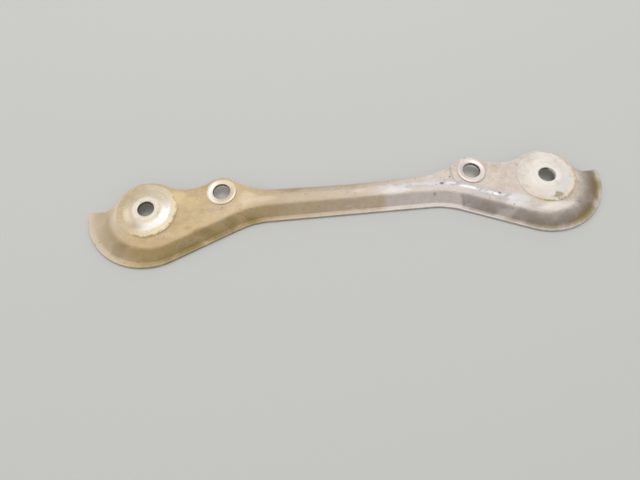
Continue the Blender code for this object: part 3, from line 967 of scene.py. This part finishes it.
def sheet_steel():
    """Bare sheet: films and painted shade on the wall, olive in its foot, a broken painted highlight
    along the shoulder, marks with painted highlights and shade, pits and wear.
    """
    n = Nodes("bare_steel_sheet")
    colour, cloud, mottle = plating(n)
    on_top = n.minus(1.0, n.attribute("under"))
    grain = n.noise(1.0, 5.0, 0.6, n.stretched(70, 700, 700))
    ragged = n.plus(n.axis("X"), n.times(n.noise(90, 4.0), 0.012))
    scratched = n.larger(n.scratches(0.45), n.scratches(-0.9))
    pits = n.larger(n.pits(330, 0.22, 0.45), n.pits(120, 0.15, 0.40))
    colour = left_end(n, colour, grain)
    colour = witness_ring(n, colour)
    colour = bar_film(n, colour, mottle)
    colour = seat_dirt(n, colour, cloud, on_top)
    colour, film_and_shade = wall_films_and_shade(n, colour, ragged)
    colour, darkening = foot_olive(n, colour)
    colour, streak, polish_and_glint = shoulder_highlight(n, colour, ragged)
    colour = marks_and_painted_light(n, colour, on_top)
    colour = wear(n, colour, mottle, scratched, pits)

    dull = n.larger(film_and_shade, darkening)
    roughness = n.plus(n.step(mottle, 0.35, 0.65, 0.50, 0.60), n.times(dull, 0.05))
    roughness = n.minus(roughness, n.times(polish_and_glint, 0.12))
    metallic = n.minus(0.50, n.times(dull, 0.15))
    metallic = n.minus(metallic, n.times(streak, 0.20))
    relief = n.bump(mottle, SHEET_MOTTLE)
    relief = n.bump(grain, SHEET_GRAIN, relief)
    hollows = n.plus(pits, n.times(scratched, 0.3))
    relief = n.bump(n.minus(1.0, hollows), SHEET_PITS, relief)
    return n.finish(colour, roughness, metallic, relief)


def rub_and_painted_light(n, colour, centre, radius, pale, highlight_crescent):
    """Paler by the bore where rubbed, paler towards +X as painted light, and a white painted
    highlight crescent on the -X side, as strong as the last argument.
    """
    across = n.minus(n.axis("X"), centre[0])
    # Paler towards +X is painted light on the side the key lamp falls on; paler by the bore is
    # rubbing.
    share = n.larger(n.step(radius, *PALE_BY_BORE, 0.28, 0.80),
                     n.step(across, -0.012, 0.006, 0.25, 0.85))
    colour = n.mix(share, colour, pale)
    # White painted highlight crescent on the -X side.
    return n.tint(colour, n.step(across, 0.000, -0.009), WHITE, highlight_crescent)


def seat_stains_and_highlights(n, colour, ragged, mottle, centre, stains_and_highlights):
    """White painted highlight arc, yellow painted highlight and rust on the near right side:
    (colour, highlight arc's share, rust's share).
    """
    side = n.minus(n.axis("X"), n.times(n.axis("Y"), NEAR_RIGHT_SLOPE))
    middle = centre[0] - NEAR_RIGHT_SLOPE * centre[1]
    near_right = n.step(side, middle - 0.004, middle + 0.014)
    # White painted highlight arc on the near right side of the seat's cone.
    highlight_arc = n.times(n.band(ragged, HIGHLIGHT_ARC_RADIUS, *HIGHLIGHT_ARC_HALF_WIDTH),
                     n.step(side, middle + 0.003, middle + 0.018))
    colour = n.tint(colour, highlight_arc, WHITE, 0.85 * stains_and_highlights)
    # Yellow painted highlight along the seat's near right edge.
    yellow_highlight = n.times(n.step(ragged, *YELLOW_HIGHLIGHT_RADII), near_right)
    colour = n.tint(colour, yellow_highlight, YELLOW, 0.35 * stains_and_highlights)
    rust = n.times(n.step(ragged, *RUSTED_EDGE), near_right, 0.75 * stains_and_highlights,
                   n.step(mottle, 0.38, 0.58))
    colour = n.mix(rust, colour, RUST)
    stain = n.times(n.patch((169, -9), (5.5, 4), 1.2), stains_and_highlights)
    return n.tint(colour, stain, OLIVE, 0.65), highlight_arc, rust


def fitted_steel(name, centre, bore_radius, rub_width, pale, shine, stains_and_highlights, highlight_crescent):
    """Steel of a collar or seat disc: rubbed pale by the bore, rust creeping in from its edge, paler
    towards +X as painted light, and painted highlights.

    shine is (roughness, metallic share); the next argument is 1 on a seat disc, bringing its stains,
    rubbing and painted highlights, and 0 on a collar; the last is how strong the white painted
    highlight crescent on the -X side is.
    """
    n = Nodes(name)
    colour, cloud, mottle = plating(n)
    radius = n.radius_from(*centre)
    colour = rub_and_painted_light(n, colour, centre, radius, pale, highlight_crescent)
    ragged = n.plus(radius, n.times(n.minus(cloud, 0.5), 0.0025))
    rubbed = n.step(ragged, bore_radius + rub_width, bore_radius + 0.6 * rub_width)
    colour = n.tint(colour, rubbed, pale, 0.60)
    colour = n.tint(colour, rubbed, WHITE, 0.35 * stains_and_highlights)
    cloudy = n.step(n.noise(95, 5.0, 0.7), 0.48, 0.66, 0.0, 0.40)
    colour = n.tint(colour, cloudy, GREY_GREEN, stains_and_highlights)
    colour, highlight_arc, rust = seat_stains_and_highlights(n, colour, ragged, mottle, centre, stains_and_highlights)
    pits = n.pits(300, 0.2, 0.40)
    colour = n.tint(colour, pits, DARK, 0.55)
    # Painted shade with some dirt: darkened inside the bore and at its top edge.
    bore_shade_and_dirt = n.step(radius, bore_radius + 0.45 * MM, bore_radius + 0.15 * MM)
    colour = n.tint(colour, bore_shade_and_dirt, DARK, 0.8)

    roughness = n.plus(n.step(mottle, 0.35, 0.65, shine[0], shine[0] + 0.08), n.times(rust, 0.3))
    roughness = n.minus(roughness, n.times(highlight_arc, 0.05 * stains_and_highlights))
    metallic = n.minus(shine[1], n.times(rust, 0.2))
    relief = n.bump(mottle, FITTED_MOTTLE)
    relief = n.bump(n.minus(1.0, pits), FITTED_PITS, relief)
    return n.finish(colour, roughness, metallic, relief)


def pale_floor():
    n = Nodes("pale_floor")
    n.shader.inputs["Base Color"].default_value = FLOOR_COLOUR
    n.shader.inputs["Roughness"].default_value = FLOOR_ROUGHNESS
    return n.material


# ---------------------------------------------------------------- stage, lights, camera

# Name, place, size, power and colour of each light; all of them point at the origin
LIGHTS = (
    ("key", (0.385, 0.43, 1.70), 0.42, 4.0, (1.0, 0.98, 0.95)),
    ("overhead", (-0.1, 0.3, 2.0), 2.4, 17.0, (1.0, 1.0, 1.0)),
    ("left_fill", (-1.5, 0.5, 0.75), 1.0, 3.2, (1.0, 1.0, 1.0)),
    ("far_fill", (0.5, 1.6, 0.55), 1.2, 5.0, (1.0, 1.0, 1.0)),
)
WORLD_STRENGTH = 0.42

CAMERA_PLACE = (-0.0428, -0.2007, 0.3578)
CAMERA_DOWN = math.radians(63.8)
CAMERA_TURNED_RIGHT = math.radians(4.93)
CAMERA_ROLL = math.radians(-0.7)
SENSOR_WIDTH = 36.0
LENS = 28.0
CLIP_START = 0.01


def area_light(name, place, size, power, colour):
    light = bpy.data.lights.new(name, "AREA")
    light.shape = "DISK"
    light.size = size
    light.energy = power
    light.color = colour
    obj = bpy.data.objects.new(name, light)
    bpy.context.scene.collection.objects.link(obj)
    obj.location = place
    obj.rotation_euler = (-Vector(place)).to_track_quat("-Z", "Y").to_euler()


def stage_and_light():
    bm = bmesh.new()
    bmesh.ops.create_grid(bm, x_segments=1, y_segments=1, size=FLOOR_HALF_SIZE)
    floor = new_object("floor", bm)
    floor.location.z = FLOOR_HEIGHT
    floor.data.materials.append(pale_floor())

    for light in LIGHTS:
        area_light(*light)
    world = bpy.data.worlds.new("studio")
    world.use_nodes = True
    background = world.node_tree.nodes["Background"]
    background.inputs["Color"].default_value = (1.0, 1.0, 1.0, 1.0)
    background.inputs["Strength"].default_value = WORLD_STRENGTH
    bpy.context.scene.world = world
    bpy.context.scene.view_settings.view_transform = "Standard"


def add_camera():
    """A hand-held view from above the near side, a little left of the middle."""
    data = bpy.data.cameras.new("camera")
    data.sensor_width = SENSOR_WIDTH
    data.lens = LENS
    data.clip_start = CLIP_START
    camera = bpy.data.objects.new("camera", data)
    bpy.context.scene.collection.objects.link(camera)
    camera.matrix_world = (
        Matrix.Translation(CAMERA_PLACE)
        @ Matrix.Rotation(-CAMERA_TURNED_RIGHT, 4, "Z")
        @ Matrix.Rotation(math.pi / 2 - CAMERA_DOWN, 4, "X")
        @ Matrix.Rotation(CAMERA_ROLL, 4, "Z"))
    bpy.context.scene.camera = camera


# ---------------------------------------------------------------- build

def build():
    sheet = pressed_sheet()
    sheet.data.materials.append(sheet_steel())
    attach(sheet, "root")
    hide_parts("pressed_bar")
    for side, sign, slot, pale in (
            ("left", -1, 0.0, PALE_LEFT), ("right", 1, SLOT_EXTRA, PALE_RIGHT)):
        ring_centre = (sign * INNER_HOLE.x, INNER_HOLE.y)
        ring = collar("ring_" + side, ring_centre)
        ring.data.materials.append(
            fitted_steel("collar_steel_" + side, ring_centre, INNER_BORE_RADIUS,
                         COLLAR_RUB_WIDTH, COLLAR_PALE[side], COLLAR_SHINE, 0.0,
                         COLLAR_HIGHLIGHT_CRESCENT[side]))
        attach(ring, "root")
        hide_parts("collar_" + side)
        seat_centre = (sign * END_HOLE.x, END_HOLE.y)
        seat = seat_disc("seat_" + side, seat_centre, slot)
        seat.data.materials.append(
            fitted_steel("seat_steel_" + side, seat_centre, END_BORE_RADIUS,
                         SEAT_RUB_WIDTH, pale, SEAT_SHINE[side], 1.0, 0.0))
        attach(seat, "root")
        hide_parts("seat_disc_" + side)
    stage_and_light()
    add_camera()


build()
